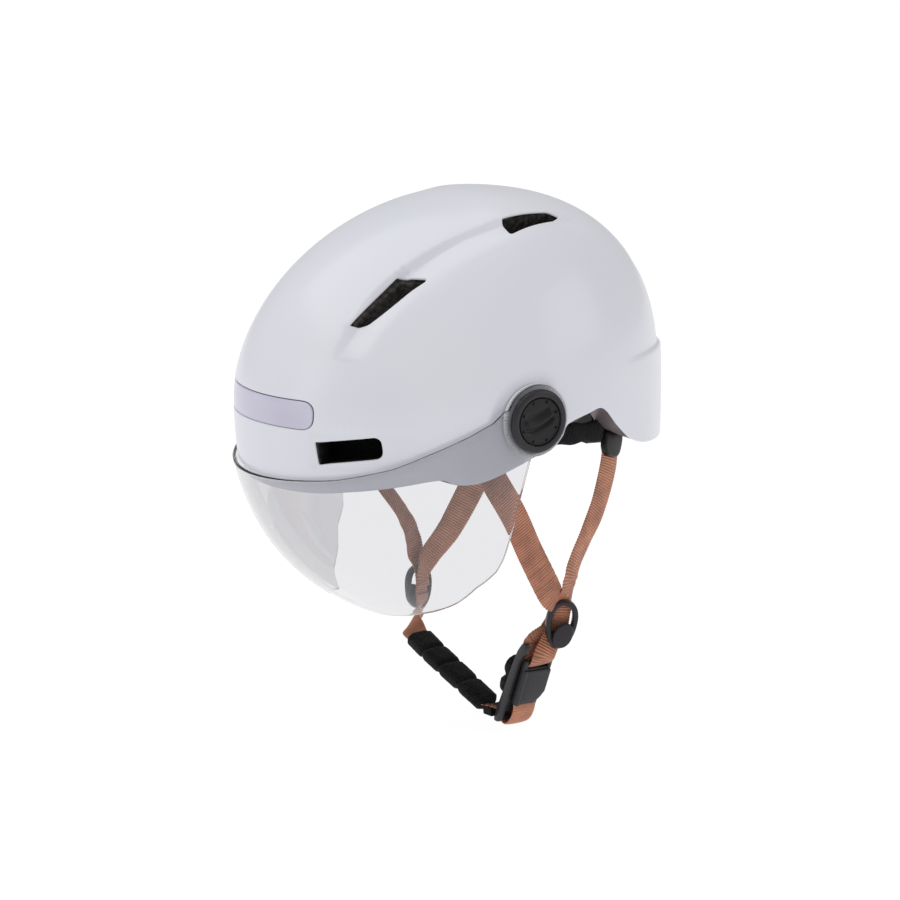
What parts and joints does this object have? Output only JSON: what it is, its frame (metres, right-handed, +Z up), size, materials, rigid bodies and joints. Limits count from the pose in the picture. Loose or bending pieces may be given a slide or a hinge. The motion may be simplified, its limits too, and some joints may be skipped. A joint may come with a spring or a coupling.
{
  "type": "cycling helmet with visor",
  "caption": "Smooth urban cycling helmet with a flip-up clear visor on side knobs, rear fit dial, webbing straps with dividers, padded chin strap and magnetic buckle.",
  "frame": {"origin": "mid-plane of the helmet, 4 mm behind the visor's pivot axis and at its height; the head seat's reference point", "axes": "+X to the wearer's left, -Y to the front, +Z up"},
  "size_m": [0.2176, 0.2813, 0.333],
  "materials": {
    "shell_white": "gloss painted polycarbonate",
    "foam_black": "moulded beaded foam, matt",
    "rim_grey": "grey brown satin rim",
    "reflector_lavender": "satin reflective insert",
    "black_plastic": "fine texture injection moulding",
    "clear_visor": "clear polycarbonate",
    "nylon_natural": "natural nylon",
    "insert_metal": "turned",
    "steel": "plain",
    "pad_fabric": "brushed knitted fabric",
    "copper_webbing": "ribbed woven webbing with a sheen"
  },
  "bodies": {
    "helmet": {"base_magnet": "steel", "brow_pad": "pad_fabric", "buckle_base": "black_plastic", "buckle_pad": "pad_fabric", "chin_pad": "pad_fabric", "chin_strap_end": "copper_webbing", "chin_strap_left": "copper_webbing", "chin_strap_right": "copper_webbing", "crown_pad": "pad_fabric", "foam_liner": "foam_black", "front_reflector": "reflector_lavender", "front_strap_left": "copper_webbing", "front_strap_right": "copper_webbing", "insert_screws": "steel", "outer_shell": "shell_white", "pivot_insert_left": "insert_metal", "pivot_insert_right": "insert_metal", "rear_strap_left": "copper_webbing", "rear_strap_right": "copper_webbing", "reflector_carrier": "black_plastic", "rim_trim": "rim_grey", "side_pad_left": "pad_fabric", "side_pad_right": "pad_fabric", "strap_anchors": "black_plastic", "strap_divider_left": "black_plastic", "strap_divider_right": "black_plastic", "strap_guide_left": "black_plastic", "strap_guide_right": "black_plastic", "strap_keeper": "black_plastic", "temple_pins": "black_plastic", "visor_washer_left": "nylon_natural", "visor_washer_right": "nylon_natural"},
    "visor": {"visor": "clear_visor", "knob_rim_left": "black_plastic", "knob_rim_right": "black_plastic"},
    "knob_left": {"visor_knob_left": "black_plastic"},
    "knob_right": {"visor_knob_right": "black_plastic"},
    "fit_ring": {"fit_arm_left": "black_plastic", "fit_arm_right": "black_plastic", "dial_housing": "black_plastic", "dial_cover": "black_plastic"},
    "dial": {"fit_dial": "black_plastic"},
    "rack_left": {"rack_left": "black_plastic"},
    "rack_right": {"rack_right": "black_plastic"},
    "lock_left": {"divider_lock_left": "black_plastic"},
    "lock_right": {"divider_lock_right": "black_plastic"},
    "buckle_plate": {"buckle_plate": "black_plastic", "plate_magnet": "steel"}
  },
  "joints": [
    {"name": "visor_tilt", "type": "hinge", "parent": "helmet", "child": "visor", "pos_m": [0, -0.004, 0], "axis": [-1, 0, 0], "range_deg": [0, 76]},
    {"name": "knob_left_turn", "type": "hinge", "parent": "helmet", "child": "knob_left", "pos_m": [0.1, -0.004, 0], "axis": [1, 0, 0], "range_deg": [0, 90]},
    {"name": "knob_right_turn", "type": "hinge", "parent": "helmet", "child": "knob_right", "pos_m": [-0.1, -0.004, 0], "axis": [-1, 0, 0], "range_deg": [0, 90]},
    {"name": "fit_height", "type": "hinge", "parent": "helmet", "child": "fit_ring", "pos_m": [0, -0.03, -0.022], "axis": [1, 0, 0], "range_deg": [-4, 3]},
    {"name": "dial_turn", "type": "hinge", "parent": "fit_ring", "child": "dial", "pos_m": [0, 0.09569, -0.03079], "axis": [0, 0.9976, -0.0698], "range_deg": [-60, 60]},
    {"name": "rack_left_slide", "type": "slide", "parent": "fit_ring", "child": "rack_left", "axis": [1, 0, 0], "range_m": [-0.0066, 0.0066]},
    {"name": "rack_right_slide", "type": "slide", "parent": "fit_ring", "child": "rack_right", "axis": [1, 0, 0], "range_m": [-0.0066, 0.0066]},
    {"name": "lock_left_open", "type": "hinge", "parent": "helmet", "child": "lock_left", "pos_m": [0.07785, 0.03539, -0.15182], "axis": [0.3447, 0.9276, 0.1442], "range_deg": [0, 70]},
    {"name": "lock_right_open", "type": "hinge", "parent": "helmet", "child": "lock_right", "pos_m": [-0.07184, 0.01889, -0.16476], "axis": [0.3267, -0.9358, 0.1328], "range_deg": [0, 70]},
    {"name": "buckle_release", "type": "slide", "parent": "helmet", "child": "buckle_plate", "axis": [-0.017, 0.9987, -0.0471], "range_m": [0, 0.014]}
  ],
  "couplings": [
    {"joint": "rack_left_slide", "follows": "dial_turn", "m_per_rad": -0.006},
    {"joint": "rack_right_slide", "follows": "dial_turn", "m_per_rad": 0.006}
  ]
}
